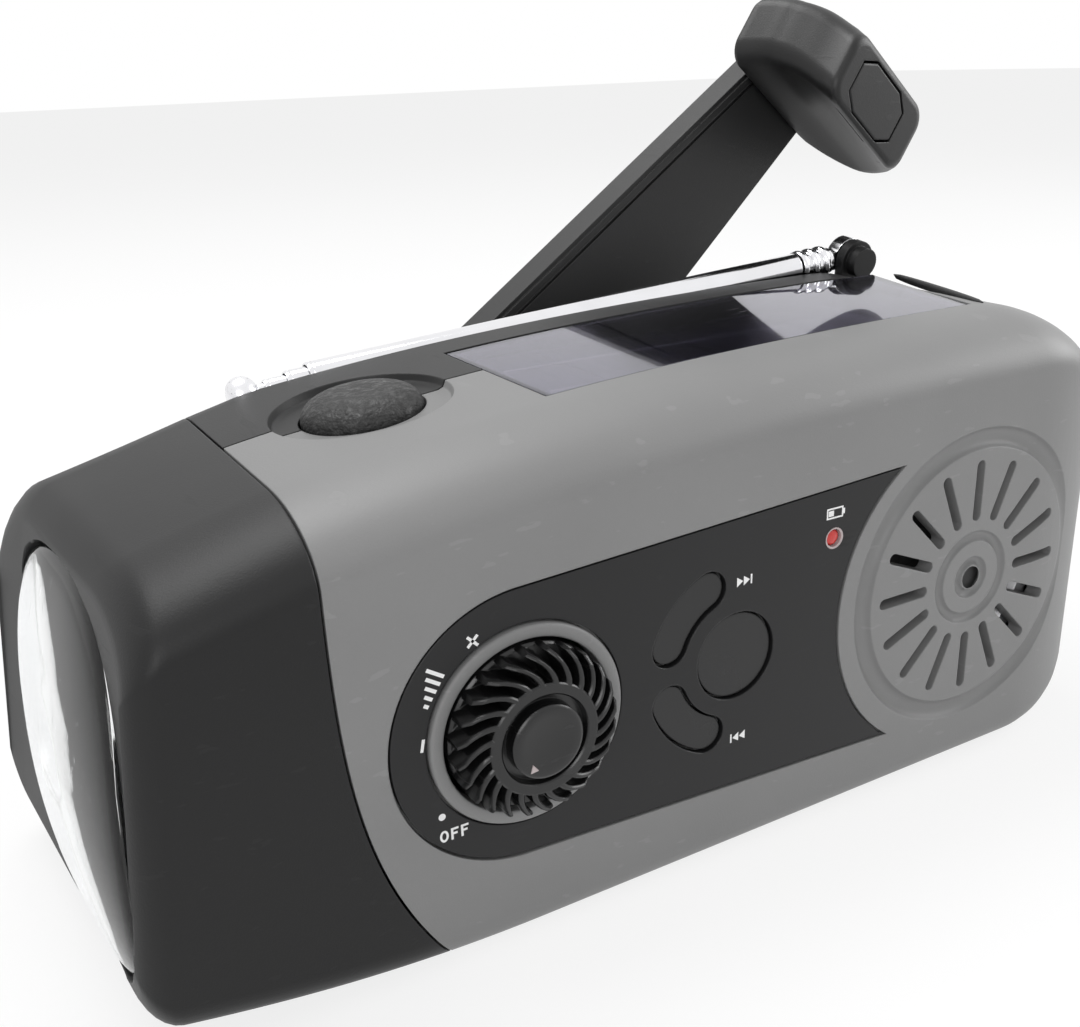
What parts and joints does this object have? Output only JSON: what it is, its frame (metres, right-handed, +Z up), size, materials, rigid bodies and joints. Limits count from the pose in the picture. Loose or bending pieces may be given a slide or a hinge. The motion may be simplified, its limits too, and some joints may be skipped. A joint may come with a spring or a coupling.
{
  "type": "dynamo solar radio",
  "caption": "Pocket radio with an end torch, a solar window on top, a folding hand crank that drives an inner dynamo through gears, and a telescopic aerial.",
  "frame": {"origin": "middle of the housing's flat underside, under the seam between the two halves", "axes": "+X towards the speaker end, -X towards the torch, -Y out of the front with the control panel, +Z up"},
  "size_m": [0.1635, 0.0799, 0.1039],
  "materials": {
    "battery_wrap": "shrink wrap",
    "black_rubber": "pitted matt rubber",
    "black_shell": "satin moulded plastic",
    "board_green": "solder resist",
    "brass": "plain brass",
    "chrome": "bright plated",
    "clear_lens": "clear polished plastic",
    "gloss_black": "gloss",
    "grey_shell": "satin moulded plastic",
    "panel_black": "smooth satin printed panel",
    "red_lens": "clear red",
    "smoked_window": "smoked clear plastic",
    "solar_cells": "sealed dark blue cells",
    "speaker_paper": "pressed black paper",
    "steel": "plain steel",
    "white_plastic": "moulded acetal"
  },
  "bodies": {
    "case": {"front_housing": "grey_shell", "rear_housing": "black_shell", "torch_cap": "black_shell", "torch_lens": "clear_lens", "torch_reflector": "chrome", "torch_led_board": "board_green", "torch_led_1": "clear_lens", "torch_led_2": "clear_lens", "torch_led_3": "clear_lens", "control_panel": "panel_black", "knob_ring": "grey_shell", "volume_control": "steel", "scan_forward_switch": "steel", "scan_back_switch": "steel", "centre_switch": "steel", "charge_led": "red_lens", "speaker_frame": "steel", "speaker_cone": "speaker_paper", "speaker_magnet": "steel", "solar_window": "smoked_window", "solar_panel": "solar_cells", "torch_switch": "steel", "torch_switch_board": "board_green", "main_board": "board_green", "tuner_chip": "gloss_black", "battery_pack": "battery_wrap", "gear_plate": "steel", "first_gear_pin": "steel", "second_gear_pin": "steel", "dynamo": "steel", "crank_bush": "brass", "case_screw_1": "steel", "case_screw_2": "steel", "case_screw_3": "steel", "case_screw_4": "steel", "aerial_screw": "steel"},
    "volume": {"volume_knob": "gloss_black", "volume_shaft": "white_plastic"},
    "scan_forward": {"scan_forward_button": "gloss_black"},
    "scan_back": {"scan_back_button": "gloss_black"},
    "centre_key": {"centre_button": "gloss_black"},
    "torch_key": {"torch_button": "black_rubber"},
    "crank_drive": {"crank_hub": "black_shell", "crank_shaft": "steel", "crank_gear": "white_plastic", "hinge_pin": "steel"},
    "crank": {"crank_arm": "black_shell", "handle_pin": "steel"},
    "handle": {"crank_handle": "black_shell", "handle_cap": "black_shell"},
    "gear_1": {"first_gear": "white_plastic"},
    "gear_2": {"second_gear": "white_plastic"},
    "rotor": {"dynamo_pinion": "brass"},
    "aerial_1": {"aerial_base": "chrome", "aerial_tube_1": "chrome"},
    "aerial_2": {"aerial_tube_2": "chrome"},
    "aerial_3": {"aerial_tube_3": "chrome"},
    "aerial_4": {"aerial_tube_4": "chrome"}
  },
  "joints": [
    {"name": "volume_turn", "type": "hinge", "parent": "case", "child": "volume", "pos_m": [-0.0318, -0.0264, 0.0283], "axis": [0, 1, 0], "range_deg": [0, 300]},
    {"name": "scan_forward_press", "type": "slide", "parent": "case", "child": "scan_forward", "axis": [0, 1, 0], "range_m": [0, 0.0006], "stiffness_N_per_m": 600, "springref_m": -0.0004},
    {"name": "scan_back_press", "type": "slide", "parent": "case", "child": "scan_back", "axis": [0, 1, 0], "range_m": [0, 0.0006], "stiffness_N_per_m": 600, "springref_m": -0.0004},
    {"name": "centre_press", "type": "slide", "parent": "case", "child": "centre_key", "axis": [0, 1, 0], "range_m": [0, 0.0006], "stiffness_N_per_m": 600, "springref_m": -0.0004},
    {"name": "torch_press", "type": "slide", "parent": "case", "child": "torch_key", "axis": [0.1149, 0, -0.9934], "range_m": [0, 0.0006], "stiffness_N_per_m": 600, "springref_m": -0.0004},
    {"name": "crank_turn", "type": "hinge", "parent": "case", "child": "crank_drive", "pos_m": [-0.0174, 0.02889, 0.03067], "axis": [0, 0.9903, 0.1392], "continuous": true},
    {"name": "crank_unfold", "type": "hinge", "parent": "crank_drive", "child": "crank", "pos_m": [-0.0174, 0.03681, 0.03179], "axis": [-0.585, -0.1129, 0.8032], "range_deg": [-9.8, 170.2]},
    {"name": "handle_turn", "type": "hinge", "parent": "crank", "child": "handle", "pos_m": [0.05973, 0.04534, 0.08916], "axis": [0.1381, -0.9897, -0.0385], "continuous": true},
    {"name": "gear_1_turn", "type": "hinge", "parent": "case", "child": "gear_1", "pos_m": [-0.00411, 0.02393, 0.02284], "axis": [0, 0.9903, 0.1392], "continuous": true},
    {"name": "gear_2_turn", "type": "hinge", "parent": "case", "child": "gear_2", "pos_m": [0.00913, 0.02347, 0.02611], "axis": [0, 0.9903, 0.1392], "continuous": true},
    {"name": "rotor_turn", "type": "hinge", "parent": "case", "child": "rotor", "pos_m": [0.01132, 0.02174, 0.0384], "axis": [0, 0.9903, 0.1392], "continuous": true},
    {"name": "aerial_swivel", "type": "hinge", "parent": "case", "child": "aerial_1", "pos_m": [0.0575, 0.02294, 0.06369], "axis": [0, 0.9903, 0.1392], "range_deg": [0, 184]},
    {"name": "aerial_slide_2", "type": "slide", "parent": "aerial_1", "child": "aerial_2", "axis": [-0.9975, 0.0099, -0.0705], "range_m": [0, 0.066]},
    {"name": "aerial_slide_3", "type": "slide", "parent": "aerial_2", "child": "aerial_3", "axis": [-0.9975, 0.0099, -0.0705], "range_m": [0, 0.066]},
    {"name": "aerial_slide_4", "type": "slide", "parent": "aerial_3", "child": "aerial_4", "axis": [-0.9975, 0.0099, -0.0705], "range_m": [0, 0.066]}
  ],
  "couplings": [
    {"joint": "gear_1_turn", "follows": "crank_turn", "ratio": -3.7778},
    {"joint": "gear_2_turn", "follows": "crank_turn", "ratio": 12.593},
    {"joint": "rotor_turn", "follows": "crank_turn", "ratio": -44.074}
  ]
}
